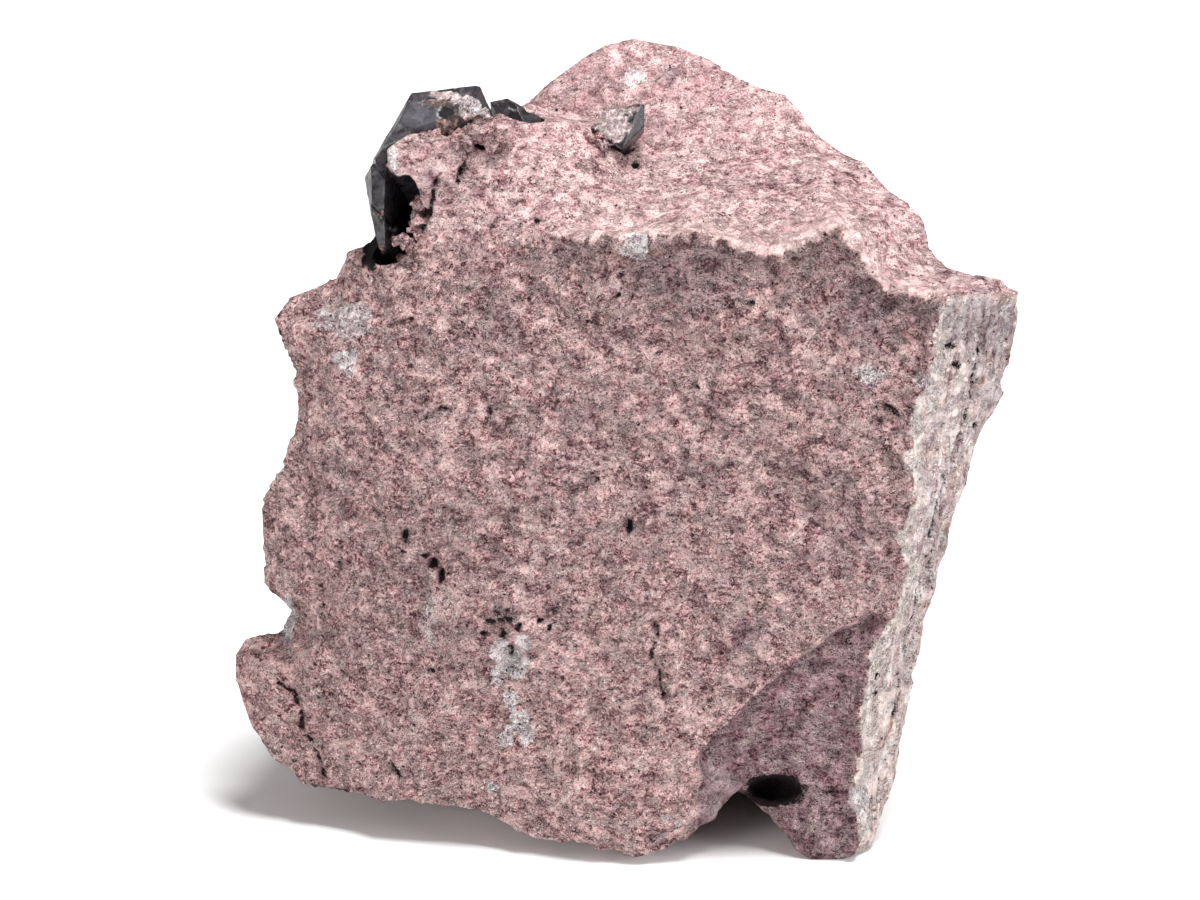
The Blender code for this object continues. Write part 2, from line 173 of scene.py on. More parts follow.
# Cracks: half width and depth in mm, how dark their painted shade is, then the run.
CRACKS = (
    (
        0.14, 0.9, 1.0,
        ((-26.8, 13.7), (-25.9, 13.1), (-25.1, 11.5), (-25.1, 10.4), (-24.5, 9.1), (-23.7, 7.7), (-23.5, 6.2)),
    ),
    (0.10, 0.6, 0.9, ((-18.2, 7.5), (-17.6, 6.5), (-17.3, 5.7))),
    (0.12, 0.6, 0.9, ((2.2, 18.7), (2.4, 17.6), (1.9, 16.0), (2.6, 14.4), (3.0, 12.2))),
    (0.10, 0.5, 0.9, ((13.8, 5.7), (15.0, 5.4), (16.9, 5.3))),
    (0.14, 0.7, 0.9, ((-15.6, 48.7), (-15.0, 50.2), (-14.5, 52.5))),
    (0.16, 0.8, 0.9, ((-12.9, 52.3), (-12.6, 53.1), (-12.3, 53.8))),
    (0.10, 0.5, 0.9, ((-18.9, 41.5), (-17.3, 41.4), (-16.4, 41.8))),
    (0.09, 0.4, 0.9, ((-15.4, 34.2), (-14.2, 34.9), (-13.1, 34.6))),
    (0.12, 0.5, 0.65, ((27.5, 40.9), (26.6, 36.0), (25.3, 30.2), (24.5, 27.1), (23.4, 21.0))),
    (0.10, 0.4, 0.55, ((26.0, 33.0), (24.9, 28.6), (23.2, 22.0), (22.4, 17.0))),
    (0.10, 0.4, 0.55, ((24.4, 30.0), (23.2, 24.0), (22.0, 18.6), (20.6, 11.0))),
    (0.16, 0.8, 0.9, ((19.7, 35.2), (20.4, 34.7), (21.0, 34.1))),
)
# Pits: (across, up), half width, half height and depth.
PITS = (
    (0.15, 25.8, 0.22, 0.60, 1.0), (-17.0, 25.2, 0.20, 0.60, 0.8), (-14.8, 23.1, 0.34, 0.42, 0.9),
    (-14.2, 22.0, 0.20, 0.60, 0.7), (-22.1, 22.8, 0.20, 0.30, 0.6), (-10.4, 18.5, 0.35, 0.22, 0.6),
    (-9.0, 18.7, 0.36, 0.24, 0.6), (-9.4, 17.6, 0.18, 0.35, 0.6), (-9.9, 19.3, 0.28, 0.16, 0.5),
    (-9.6, 18.6, 0.22, 0.2, 0.5), (-9.0, 19.4, 0.22, 0.18, 0.5), (-6.6, 18.6, 0.25, 0.2, 0.4),
    (-5.9, 18.0, 0.18, 0.22, 0.4), (-8.9, 16.4, 0.12, 0.5, 0.5), (-8.2, 18.1, 0.22, 0.40, 0.5),
    (-10.9, 17.6, 0.22, 0.22, 0.4), (-15.4, 23.6, 0.25, 0.20, 0.5), (-15.0, 14.7, 0.30, 0.22, 0.5),
    (-10.5, 34.7, 0.18, 0.20, 0.5), (-10.5, 32.8, 0.16, 0.25, 0.5), (-7.4, 43.3, 0.20, 0.20, 0.5),
    (-6.8, 49.2, 0.30, 0.22, 0.6), (9.6, 42.9, 0.25, 0.20, 0.5), (-0.6, 43.5, 0.20, 0.20, 0.4),
    (24.9, 39.6, 0.28, 0.20, 0.6), (25.1, 38.2, 0.25, 0.30, 0.7), (0.8, 53.8, 0.35, 0.25, 0.6),
    (19.3, 14.4, 0.20, 0.25, 0.5), (19.3, 13.0, 0.18, 0.22, 0.5), (26.9, 33.6, 0.22, 0.28, 0.5),
    (-20.4, 40.2, 0.20, 0.15, 0.4), (-2.2, 29.5, 0.16, 0.16, 0.4), (5.4, 36.6, 0.18, 0.15, 0.4),
)
# Hollows painted dark as shade: (across, up), half sizes, and how far back the painted shade begins and ends.
HOLLOWS = (
    ((11.5, 5.45), (2.25, 1.2), 2.1, 16.0),
    ((-16.9, 50.6), (2.0, 3.4), -2.6, 4.5),
    ((-18.2, 46.9), (2.1, 1.5), -0.9, 4.5),
)
# Smooth lilac skins, tan spots, pale crust with a few painted highlights among it, and dark stain: (across,
# up), half width, half height and strength.
LILACS = ((7.3, 5.0, 2.0, 2.3, 1.1), (12.8, 43.6, 1.2, 0.5, 0.4))
TANS = ((28.6, 43.2, 1.3, 0.6, 0.7), (15.8, 48.4, 0.9, 0.5, 0.5), (10.0, 14.9, 1.2, 1.1, 0.4))
# Pale crust; the small, strong spots at (-0.8, 4.3), (3.0, 3.4) and (3.8, 2.9) are painted white highlights.
CRUSTS_AND_HIGHLIGHTS = (
    (-9.7, 16.3, 0.8, 0.9, 1.0), (-8.5, 15.2, 1.1, 1.3, 1.2), (-9.7, 14.4, 0.8, 0.8, 1.0),
    (-7.8, 17.0, 0.7, 0.8, 1.0), (-8.8, 12.5, 0.8, 1.0, 0.8), (-8.3, 10.8, 1.0, 1.0, 1.1),
    (-9.3, 9.5, 0.6, 0.7, 1.0), (-7.6, 9.8, 0.7, 0.9, 1.1), (0.7, 46.9, 1.1, 0.8, 0.95),
    (18.5, 37.5, 1.2, 0.9, 0.8), (22.4, 36.9, 0.8, 0.5, 1.0), (-21.5, 41.7, 2.8, 1.7, 0.6),
    (-21.6, 38.5, 1.1, 1.3, 0.7), (-26.3, 18.6, 0.8, 2.4, 0.9), (-10.1, 5.7, 0.5, 0.4, 0.9),
    (-19.5, 44.8, 0.3, 0.2, 1.4), (-0.8, 4.3, 0.3, 0.2, 1.4), (3.0, 3.4, 0.35, 0.2, 1.4),
    (3.8, 2.9, 0.25, 0.2, 1.3), (-15.2, 18.8, 0.9, 2.3, 0.5), (0.7, 60.5, 1.6, 0.9, 0.6),
    (18.0, 4.8, 0.8, 1.8, 1.1), (-19.9, 47.4, 0.7, 1.2, 0.6), (-12.2, 57.3, 0.7, 0.5, 1.2),
    (-17.9, 54.2, 0.6, 1.3, 0.9),
)
STAINS = (
    (9.0, 17.7, 0.9, 1.1, 1.1), (2.4, 1.8, 1.1, 0.6, 1.0), (5.2, 2.9, 0.7, 0.6, 0.8),
    (18.0, 42.0, 2.6, 3.4, 0.7), (5.0, 44.8, 6.0, 2.2, 0.5), (-9.4, 41.0, 2.5, 2.5, 0.35),
    (-4.0, 34.0, 3.0, 1.6, 0.35), (-9.6, 19.0, 1.6, 1.0, 0.6), (3.8, 60.6, 1.6, 0.8, 0.7),
    (-15.0, 23.4, 1.2, 1.2, 0.4), (16.0, 27.0, 3.0, 5.0, 0.3), (6.0, 29.0, 3.0, 3.0, 0.3),
    (-14.6, 51.8, 1.6, 1.6, 0.5), (27.4, 41.0, 3.6, 2.6, 0.9), (28.6, 36.0, 1.0, 4.0, 0.7),
    (26.5, 46.0, 5.0, 2.2, 0.4), (15.5, 2.8, 3.4, 3.2, 0.45), (25.6, 40.6, 0.9, 1.2, 0.6),
)
# The relief of the break in mm: how broad each kind of feature is, or how broad in x, y and z, and how high.
FLAKE_BROAD = 2.6
FLAKE_HIGH = 0.20
STEP_BROAD = (1.9, 1.6, 1.6)
STEP_HIGH = 0.36
STEPS = 3.0
CHIP_BROAD = (1.1, 0.9, 0.8)
CHIP_HIGH = 0.30
TOOTH_BROAD = (0.55, 0.45, 0.4)
TOOTH_HIGH = 0.20
RIB_BROAD = (0.9, 0.9, 5.0)
RIB_HIGH = 0.20
RIB_SUNK = 0.15
RIB_LEAN = 0.2
RIDGE_WIDE = 0.55
RIDGE_HIGH = 0.75
SKIN_EDGE_WIDE = 0.5
SKIN_EDGE_HIGH = 0.40
ARC_WIDE = 1.6
ARC_DEEP = 1.3
GROOVE_WIDE = 0.35
GROOVE_DEEP = 0.45
# How much the break is calmed on the top, in the scoop and on the skin; what is left of it on the hidden sides
# and along sharp edges.
TOP_CALM = 0.5
SCOOP_CALM = 0.5
SKIN_CALM = 0.65
HIDDEN_SHARE = 0.35
SHARP_SHARE = 0.25
# Where one part of the surface fades into the next, in mm: the ends of the top ridge and how blurred it is
# there, the skin's border down the side, the scoop's left end, the foot, the fresh break, the back peak, the
# band of painted shade and highlight along the ridge, and the skin's border.
RIDGE_BLUR = 0.15
LEFT_FADE = (4.0, 9.0)
LEFT_BLUR = 2.6
RIGHT_FADE = (24.0, 26.0)
RIGHT_BLUR = 0.8
SIDE_FADE = (-14.0, 6.0)
SIDE_TURN = 6.0
SCOOP_LEFT = (5.0, 6.5)
FOOT_FADE = (0.0, 1.5)
FRESH_LOW = (8.0, 20.0)
FRESH_LEFT = (-26.0, -15.0)
FRESH_ON_TOP = 0.55
PEAK_FADE = (52.0, 58.0)
EAVE_WIDE = 1.6
EAVE_LEFT = (-7.0, -3.0)
EAVE_RIGHT = (-24.5, -23.5)
RIM_IN = 0.5
RIM_WIDE = 0.6
PATCH_RAGGED = 0.55
PATCH_FADE = (0.55, 1.25)


def spot_noise(spots, broad, shift=0.0):
    """Smooth noise from -1 to 1 at each place in mm, with features that broad, or that broad in x, y and z."""
    return np.array([noise.noise(Vector(spot)) for spot in (spots + shift) / np.array(broad)])


def bell(far, wide):
    """1 where far is 0, fading to nothing over about twice that width."""
    return np.exp(-(far / wide) ** 2)


def run_distance(run):
    """How far each point of the block lies from a run of points on the front."""
    near = np.full(across.shape, 1e9)
    for (a0, u0), (a1, u1) in zip(run, run[1:]):
        length = math.hypot(a1 - a0, u1 - u0)
        da, du = (a1 - a0) / length, (u1 - u0) / length
        along = np.clip((across - a0) * da + (up - u0) * du, 0.0, length)
        near = np.minimum(near, np.hypot(across - a0 - along * da, up - u0 - along * du))
    return near


def step(value, low, high):
    """0 below low, 1 above high and smooth between."""
    share = np.clip((value - low) / (high - low), 0.0, 1.0)
    return share * share * (3.0 - 2.0 * share)


def patches(listed):
    """How strongly each point lies in any of the listed patches, whose borders are ragged."""
    found = np.zeros(across.shape)
    for patch_across, patch_up, wide, tall, strength in listed:
        far = np.hypot((across - patch_across) / wide, (up - patch_up) / tall)
        found = np.maximum(found, strength * (1.0 - step(far + PATCH_RAGGED * ragged, *PATCH_FADE)))
    return found * facing


block_mesh = block.data
places = np.array([vert.co[:] for vert in block_mesh.vertices])
normals = np.array([vert.normal[:] for vert in block_mesh.vertices])
spots = places / MM
local = (places - np.array(PLANE_FOOT)) / MM
across, up, back = local @ np.array(ACROSS), local @ np.array(UP), local @ np.array(BACK)
# 1 on the front and the right side, 0 on the back and underneath.
to_right = np.clip(normals[:, 0], 0.0, 1.0)
facing = np.clip(0.3 - 3.0 * (normals @ np.array(BACK)) + 0.7 * to_right, 0.0, 1.0)
ragged = spot_noise(spots, 0.9) + 0.5 * spot_noise(spots, 0.4, shift=40.0)

# How far each point belongs to the top, to the weathered skin and to the scoop.
ridge_up = np.interp(across, *zip(*TOP_RIDGE))
arc_up = np.interp(across, *zip(*SCOOP_ARC))
border_across, border_up = zip(*SKIN_EDGE[::-1])
skin_across = np.interp(up, border_up, border_across) - SIDE_TURN * step(spots[:, 1], *SIDE_FADE)
ridge_blur = RIDGE_BLUR + LEFT_BLUR * step(-across, *LEFT_FADE) + RIGHT_BLUR * step(across, *RIGHT_FADE)
on_top = step((up - ridge_up + 0.25 * ragged) / ridge_blur, -1.0, 1.0)
skin = step(across - skin_across + 0.35 * ragged, -0.1, 0.25) * (1.0 - on_top)
scoop = step(arc_up - up + 0.2 * ragged, 0.0, 0.5) * (1.0 - skin) * step(across, *SCOOP_LEFT) * facing

# The hackly break has broad flakes, flat steps, small chips and fine teeth.
flakes = 1.0 - 2.2 * np.abs(spot_noise(spots, FLAKE_BROAD))
steps = np.round(STEPS * spot_noise(spots, STEP_BROAD, shift=90.0)) / STEPS
chips = spot_noise(spots, CHIP_BROAD, shift=20.0)
teeth = spot_noise(spots, TOOTH_BROAD, shift=60.0)
height = FLAKE_HIGH * flakes + STEP_HIGH * steps + facing * (CHIP_HIGH * chips + TOOTH_HIGH * teeth)
height *= 1.0 - TOP_CALM * on_top - SCOOP_CALM * scoop - SKIN_CALM * skin
# The weathered skin has ribs that run down it.
leaning = np.column_stack((spots[:, 0] + RIB_LEAN * spots[:, 2], spots[:, 1:]))
ribs = 1.0 - 2.0 * np.abs(spot_noise(leaning, RIB_BROAD))
height += skin * (RIB_HIGH * ribs - RIB_SUNK)
# The edges of the break stand up sharp, the scoop falls away under its arc, and a groove runs down the skin.
height += facing * (RIDGE_HIGH + 0.5 * ragged) * bell(run_distance(TOP_RIDGE), RIDGE_WIDE)
height += facing * (SKIN_EDGE_HIGH + 0.4 * ragged) * bell(run_distance(SKIN_EDGE), SKIN_EDGE_WIDE)
height -= scoop * ARC_DEEP * bell(run_distance(SCOOP_ARC), ARC_WIDE)
height *= HIDDEN_SHARE + (1.0 - HIDDEN_SHARE) * facing
height -= GROOVE_DEEP * bell(run_distance(SKIN_GROOVE) + 0.3 * ragged, GROOVE_WIDE) * facing

# Cracks and pits are cut in and painted dark as shade; the hollows are only painted dark as shade.
dark = np.zeros(across.shape)
for half, deep, darkness, run in CRACKS:
    cut = bell(run_distance(run) + 0.12 * ragged, half) * facing
    height -= deep * cut
    dark = np.maximum(dark, darkness * cut)
for pit_across, pit_up, wide, tall, deep in PITS:
    far = np.hypot((across - pit_across) / wide, (up - pit_up) / tall) + 0.4 * ragged
    cut = (1.0 - step(far, 0.5, 1.4)) * facing
    height -= deep * cut
    dark = np.maximum(dark, cut)
for (hollow_across, hollow_up), (wide, tall), front, end in HOLLOWS:
    far = (np.abs((across - hollow_across) / wide) ** 3 + np.abs((up - hollow_up) / tall) ** 3) ** (1 / 3)
    inside = 1.0 - step(far + 0.12 * ragged, 0.9, 1.1)
    dark = np.maximum(dark, inside * step(back, front, front + 0.8) * (1.0 - step(back, end, end + 3.0)))

# Sharp edges keep their line: a point moves less where the faces round it turn away from each other.
corners = np.array([face.vertices[:] for face in block_mesh.polygons])
face_normals = np.array([face.normal[:] for face in block_mesh.polygons])
evenness = np.ones(len(places))
for corner in corners.T:
    np.minimum.at(evenness, corner, np.einsum("ij,ij->i", face_normals, normals[corner]))
height *= SHARP_SHARE + (1.0 - SHARP_SHARE) * step(evenness, 0.35, 0.80)
height *= step(spots[:, 2], *FOOT_FADE)
height[places[:, 2] < FOOT_LEVEL] = 0.0
moved = places + normals * height[:, None] * MM
# Stray points are drawn back between their neighbours.
ends = np.array([edge.vertices[:] for edge in block_mesh.edges])
for _ in range(STRAY_PASSES):
    around = np.zeros((len(places), 4))
    np.add.at(around, ends[:, 0], np.column_stack((moved[ends[:, 1]], np.ones(len(ends)))))
    np.add.at(around, ends[:, 1], np.column_stack((moved[ends[:, 0]], np.ones(len(ends)))))
    middle = around[:, :3] / around[:, 3:]
    stray = (np.linalg.norm(moved - middle, axis=1) > STRAY) & (places[:, 2] > FOOT_LEVEL)
    moved[stray] = middle[stray]
moved = np.clip(moved, *cad_box)
block_mesh.vertices.foreach_set("co", moved.ravel())
block_mesh.update()

# What each point is part of is painted on the mesh, for the colours to read.
fresh_break = 1.0 - np.minimum(step(up, *FRESH_LOW), step(across, *FRESH_LEFT))
# A band along the top ridge, for painted shade below it and a painted highlight along its lip.
ridge_light_band = np.exp(-np.abs(up - ridge_up) / EAVE_WIDE) * step(across, *EAVE_LEFT) * step(-across, *EAVE_RIGHT)
rock_paints = (
    ("ridge", ridge_light_band * facing),
    # The dark attribute holds painted shade in the cracks, pits and hollows.
    ("dark", dark),
    ("skin", skin),
    ("scoop", scoop),
    ("top", on_top * facing),
    # The crust attribute also holds three small painted highlights.
    ("crust", patches(CRUSTS_AND_HIGHLIGHTS)),
    ("stain", patches(STAINS)),
    ("lilac", patches(LILACS)),
    ("tan", patches(TANS)),
    ("fresh", np.maximum(fresh_break * facing * (1.0 - scoop), FRESH_ON_TOP * on_top)),
    ("calm", step(up, *PEAK_FADE) * on_top),
    ("rim", bell(across - skin_across - RIM_IN, RIM_WIDE) * skin),
)
for name, values in rock_paints:
    block_mesh.attributes.new(name, "FLOAT", "POINT").data.foreach_set("value", values)
bpy.ops.object.shade_smooth()

# Its colours are dusty pink feldspar and quartz with mauve and dun patches, dark specks and gaps, pale wisps
# along broken grains, and a chalky skin and crust. Each ramp goes from the gaps to the sharp, pale edges. Shade
# is painted into the scoop, below the top ridge and in the cracks, pits and hollows, and highlights are painted
# on the ridge's lip and on a few spots among the crusts.
PINK = ((0.36, (0.085, 0.035, 0.040)), (0.44, (0.39, 0.192, 0.197)), (0.50, (0.70, 0.390, 0.388)),
        (0.565, (0.90, 0.605, 0.585)), (0.64, (0.95, 0.79, 0.76)))
MAUVE = ((0.36, (0.055, 0.026, 0.033)), (0.44, (0.215, 0.108, 0.121)), (0.50, (0.420, 0.234, 0.250)),
         (0.565, (0.66, 0.415, 0.422)), (0.64, (0.90, 0.68, 0.67)))
DUN = ((0.36, (0.080, 0.046, 0.042)), (0.44, (0.255, 0.155, 0.142)), (0.50, (0.460, 0.298, 0.275)),
       (0.565, (0.68, 0.480, 0.445)), (0.64, (0.88, 0.72, 0.68)))
SKIN = ((0.32, (0.28, 0.165, 0.135)), (0.41, (0.74, 0.535, 0.485)), (0.50, (0.95, 0.775, 0.73)),
        (0.60, (0.95, 0.89, 0.85)))
LILAC_SKIN = ((0.32, (0.23, 0.140, 0.145)), (0.41, (0.56, 0.410, 0.425)), (0.50, (0.84, 0.670, 0.690)),
              (0.60, (0.95, 0.84, 0.86)))
CRUST = ((0.36, (0.24, 0.160, 0.165)), (0.46, (0.72, 0.600, 0.610)), (0.57, (0.95, 0.91, 0.91)))
SPECK = (0.030, 0.017, 0.018, 1.0)
WISP = (0.95, 0.78, 0.74, 1.0)
# Near-black painted shade in the cracks, pits and hollows.
RECESS_SHADE = (0.010, 0.004, 0.005, 1.0)
# Painted shade in the scoop under its overhanging arc, with a mauve tint.
SCOOP_SHADE_TINT = (0.58, 0.53, 0.585, 1.0)
STAIN_TINT = (0.60, 0.60, 0.64, 1.0)
# Painted shade below the top ridge, and a painted highlight along its lip.
EAVE_PAINTED_SHADE = (0.50, 0.49, 0.48, 1.0)
LIP_PAINTED_HIGHLIGHT = (0.84, 0.60, 0.57, 1.0)
TOP_TINT = (0.72, 0.735, 0.755, 1.0)
LILAC = (0.50, 0.335, 0.37, 1.0)
TAN = (0.52, 0.34, 0.265, 1.0)
GAP_TINT = (0.26, 0.22, 0.23, 1.0)
RIM = (0.95, 0.85, 0.79, 1.0)
SKIN_LEAN = 0.209
ROCK_ROUGH = 0.92
ROCK_SPECULAR = 0.2
# What goes into the hackle, and the number that brings each mixture back to the middle of the ramps.
COMBED_SHARE = 0.48
COMBED_BASE = 0.258
HACKLE_SHARE = 0.75
BROAD_FLAKES = 0.06
SMALL_FLAKES = 0.22
FLAKES_EXCESS = 0.020
CALM_SHARE = 0.40
CALM_BASE = 0.305
GRIT_MIDDLE = 0.49
GRIT_SHARE = 0.40
PLATE_STEP = 0.06
# How far each colour covers the one under it, and how much less mauve and how many fewer gaps there are.
FRESH_MAUVE = -0.65
DUN_COVER = 0.5
LILAC_COVER = 0.8
LIP_HIGHLIGHT_COVER = 0.6
TOP_GAPS = -0.65
WISP_COVER = 0.75
DARK_RAGGED = 2.6
# The relief of the hackle, and of gaps, plates and specks as a share of it.
HACKLE_DEEP = 0.7 * MM
GAP_HIGH = -0.35
PLATE_HIGH = 4.0
SPECK_HIGH = -0.3


def shader_node(tree, kind, **values):
    """A node of a material with its settings, constant sockets and the sockets that feed it."""
    made = tree.nodes.new(kind)
    for name, value in values.items():
        if hasattr(made, name):
            setattr(made, name, value)
        elif isinstance(value, bpy.types.NodeSocket):
            tree.links.new(value, made.inputs[name])
        else:
            made.inputs[name].default_value = value
    return made


def grain(tree, per_mm, detail, rough, stretch=(1.0, 1.0, 1.0), distortion=0.0, shift=0.0, lean=0.0):
    """Noise with about that many features to the mm; a stretch along z leans to the right by that angle."""
    place = shader_node(tree, "ShaderNodeTexCoord").outputs["Object"]
    if lean:
        turned = shader_node(tree, "ShaderNodeMapping", Vector=place, Rotation=(0.0, -lean, 0.0))
        place = turned.outputs["Vector"]
    mapping = shader_node(
        tree, "ShaderNodeMapping", Vector=place, Scale=[s / MM for s in stretch], Location=[shift] * 3,
    )
    made = shader_node(
        tree, "ShaderNodeTexNoise", Vector=mapping.outputs["Vector"],
        Scale=per_mm, Detail=detail, Roughness=rough, Distortion=distortion,
    )
    return made.outputs["Fac"]


def scales(tree, per_mm, stretch, shift):
    """A shade for each of many small angular flakes, about that many to the mm, with crooked outlines."""
    place = shader_node(tree, "ShaderNodeTexCoord").outputs["Object"]
    mapping = shader_node(
        tree, "ShaderNodeMapping", Vector=place, Scale=[s / MM for s in stretch], Location=[shift] * 3,
    )
    place = mapping.outputs["Vector"]
    crooked = shader_node(tree, "ShaderNodeTexNoise", Vector=place, Scale=1.6 * per_mm, Detail=2.0)
    bent = mix(tree, 0.55 / per_mm, place, crooked.outputs["Color"], "LINEAR_LIGHT")
    return shader_node(tree, "ShaderNodeTexVoronoi", Vector=bent, Scale=per_mm).outputs["Color"]


def ramp(tree, value, stops):
    """A colour for each value, through (position, colour) stops."""
    made = shader_node(tree, "ShaderNodeValToRGB", Fac=value)
    while len(made.color_ramp.elements) < len(stops):
        made.color_ramp.elements.new(0.5)
    for element, (position, colour) in zip(made.color_ramp.elements, stops):
        element.position = position
        element.color = (*colour, 1.0)
    return made.outputs["Color"]


def share(tree, value, low, high):
    """0 where the value is at low and 1 where it is at high."""
    made = shader_node(tree, "ShaderNodeMapRange", Value=value)
    made.inputs["From Min"].default_value = low
    made.inputs["From Max"].default_value = high
    return made.outputs["Result"]


def mix(tree, amount, first, second, blend="MIX"):
    """Two colours mixed, each a constant or a socket."""
    made = shader_node(tree, "ShaderNodeMix", data_type="RGBA", blend_type=blend)
    for socket, value in ((made.inputs[0], amount), (made.inputs[6], first), (made.inputs[7], second)):
        if isinstance(value, bpy.types.NodeSocket):
            tree.links.new(value, socket)
        else:
            socket.default_value = value
    return made.outputs[2]


def sum_of(tree, first, second, operation="ADD"):
    """Two numbers added, multiplied or otherwise joined."""
    made = shader_node(tree, "ShaderNodeMath", operation=operation)
    for socket, value in zip(made.inputs, (first, second)):
        if isinstance(value, bpy.types.NodeSocket):
            tree.links.new(value, socket)
        else:
            socket.default_value = value
    return made.outputs[0]


def blend(tree, amount, first, second):
    """Two numbers mixed by a third."""
    made = shader_node(tree, "ShaderNodeMix", data_type="FLOAT")
    for socket, value in zip(made.inputs, (amount, None, first, second)):
        if value is not None:
            tree.links.new(value, socket)
    return made.outputs[0]


def painted(tree, name):
    """A number painted on the mesh."""
    return shader_node(tree, "ShaderNodeAttribute", attribute_name=name).outputs["Fac"]


def times(tree, first, second):
    """Two numbers multiplied."""
    return sum_of(tree, first, second, "MULTIPLY")


def tinted(tree, amount, colour, tint):
    """A colour multiplied by a tint, as far as the amount goes."""
    return mix(tree, amount, colour, mix(tree, 1.0, colour, tint, "MULTIPLY"))


def thin_lines(tree, value, wide):
    """1 along the crooked lines where noise crosses one half, 0 where it is that far off."""
    off = sum_of(tree, sum_of(tree, value, 0.5, "SUBTRACT"), 0.0, "ABSOLUTE")
    return share(tree, off, low=wide, high=0.0)


rock = bpy.data.materials.new("rhyolite")
rock.use_nodes = True
tree = rock.node_tree
shader = tree.nodes["Principled BSDF"]
shader.inputs["Roughness"].default_value = ROCK_ROUGH
shader.inputs["Specular IOR Level"].default_value = ROCK_SPECULAR

# The hackle is fine noise, combed sideways on the top, cut into flakes, calm on the back peak, with grit on it.
hackle = grain(tree, per_mm=3.3, detail=3.0, rough=0.85, distortion=0.9)
combed = grain(tree, per_mm=2.4, detail=3.0, rough=0.7, stretch=(0.35, 0.8, 1.0), distortion=0.5, shift=9.0)
combed = sum_of(tree, times(tree, combed, COMBED_SHARE), COMBED_BASE)
hackle = blend(tree, painted(tree, "top"), hackle, combed)
broad_flakes = times(tree, scales(tree, per_mm=0.75, stretch=(0.9, 1.0, 1.2), shift=41.0), BROAD_FLAKES)
small_flakes = times(tree, scales(tree, per_mm=2.7, stretch=(0.8, 1.0, 1.2), shift=47.0), SMALL_FLAKES)
hackle = sum_of(tree, times(tree, hackle, HACKLE_SHARE), sum_of(tree, broad_flakes, small_flakes))
hackle = sum_of(tree, hackle, FLAKES_EXCESS, "SUBTRACT")
calmed = sum_of(tree, times(tree, hackle, CALM_SHARE), CALM_BASE)
hackle = blend(tree, painted(tree, "calm"), hackle, calmed)
grit = sum_of(tree, grain(tree, per_mm=6.5, detail=2.0, rough=0.6, shift=61.0), GRIT_MIDDLE, "SUBTRACT")
fine = sum_of(tree, hackle, times(tree, grit, GRIT_SHARE))

# Pink, mauve and dun patches of the broken rock, painted shade in the scoop under its overhanging arc, and the
# greyer top.
mottle = grain(tree, per_mm=0.50, detail=4.0, rough=0.62, distortion=0.5, shift=7.0)
plates = grain(tree, per_mm=0.62, detail=5.0, rough=0.62, distortion=0.7, shift=21.0)
plates = sum_of(tree, plates, PLATE_STEP, "SNAP")
mauve_share = share(tree, sum_of(tree, mottle, plates), low=0.86, high=1.17)
not_fresh = sum_of(tree, times(tree, painted(tree, "fresh"), FRESH_MAUVE), 1.0)
mauve_share = times(tree, mauve_share, not_fresh)
colour = mix(tree, mauve_share, ramp(tree, fine, PINK), ramp(tree, fine, MAUVE))
dun = grain(tree, per_mm=0.28, detail=5.0, rough=0.6, distortion=0.8, shift=53.0)
dun_share = times(tree, share(tree, dun, low=0.50, high=0.62), DUN_COVER)
colour = mix(tree, dun_share, colour, ramp(tree, fine, DUN))
# The scoop is painted darker as shade under its arc, and tinted mauve.
colour = tinted(tree, painted(tree, "scoop"), colour, SCOOP_SHADE_TINT)
top_share = share(tree, sum_of(tree, painted(tree, "top"), fine), low=0.92, high=1.08)
colour = tinted(tree, top_share, colour, TOP_TINT)

# Smooth lilac skins, then painted shade below the top ridge and a painted highlight along its lip.
lilac_share = share(tree, sum_of(tree, painted(tree, "lilac"), fine), low=0.75, high=1.20)
colour = mix(tree, times(tree, lilac_share, LILAC_COVER), colour, LILAC)
# Painted shade on the band below the ridge, and a painted highlight on the band along the top's edge.
under = times(tree, painted(tree, "ridge"), sum_of(tree, 1.0, top_share, "SUBTRACT"))
colour = tinted(tree, under, colour, EAVE_PAINTED_SHADE)
over = times(tree, painted(tree, "ridge"), top_share)
colour = mix(tree, times(tree, over, LIP_HIGHLIGHT_COVER), colour, LIP_PAINTED_HIGHLIGHT)

# The weathered skin with its streaks and rim, then stain, tan spots, and crust with a few painted highlights.
streaks = grain(
    tree, per_mm=1.5, detail=5.0, rough=0.7, stretch=(1.1, 1.0, 0.20), distortion=0.3, shift=3.0,
    lean=SKIN_LEAN,
)
skin_colour = mix(tree, mauve_share, ramp(tree, streaks, SKIN), ramp(tree, streaks, LILAC_SKIN))
skin_colour = mix(tree, painted(tree, "rim"), skin_colour, RIM)
skin_share = share(tree, sum_of(tree, painted(tree, "skin"), fine), low=0.90, high=1.10)
colour = mix(tree, skin_share, colour, skin_colour)
colour = tinted(tree, painted(tree, "stain"), colour, STAIN_TINT)
tan_share = share(tree, sum_of(tree, painted(tree, "tan"), fine), low=0.90, high=1.50)
colour = mix(tree, tan_share, colour, TAN)
crust_share = share(tree, sum_of(tree, painted(tree, "crust"), fine), low=0.85, high=1.20)
colour = mix(tree, crust_share, colour, ramp(tree, fine, CRUST))

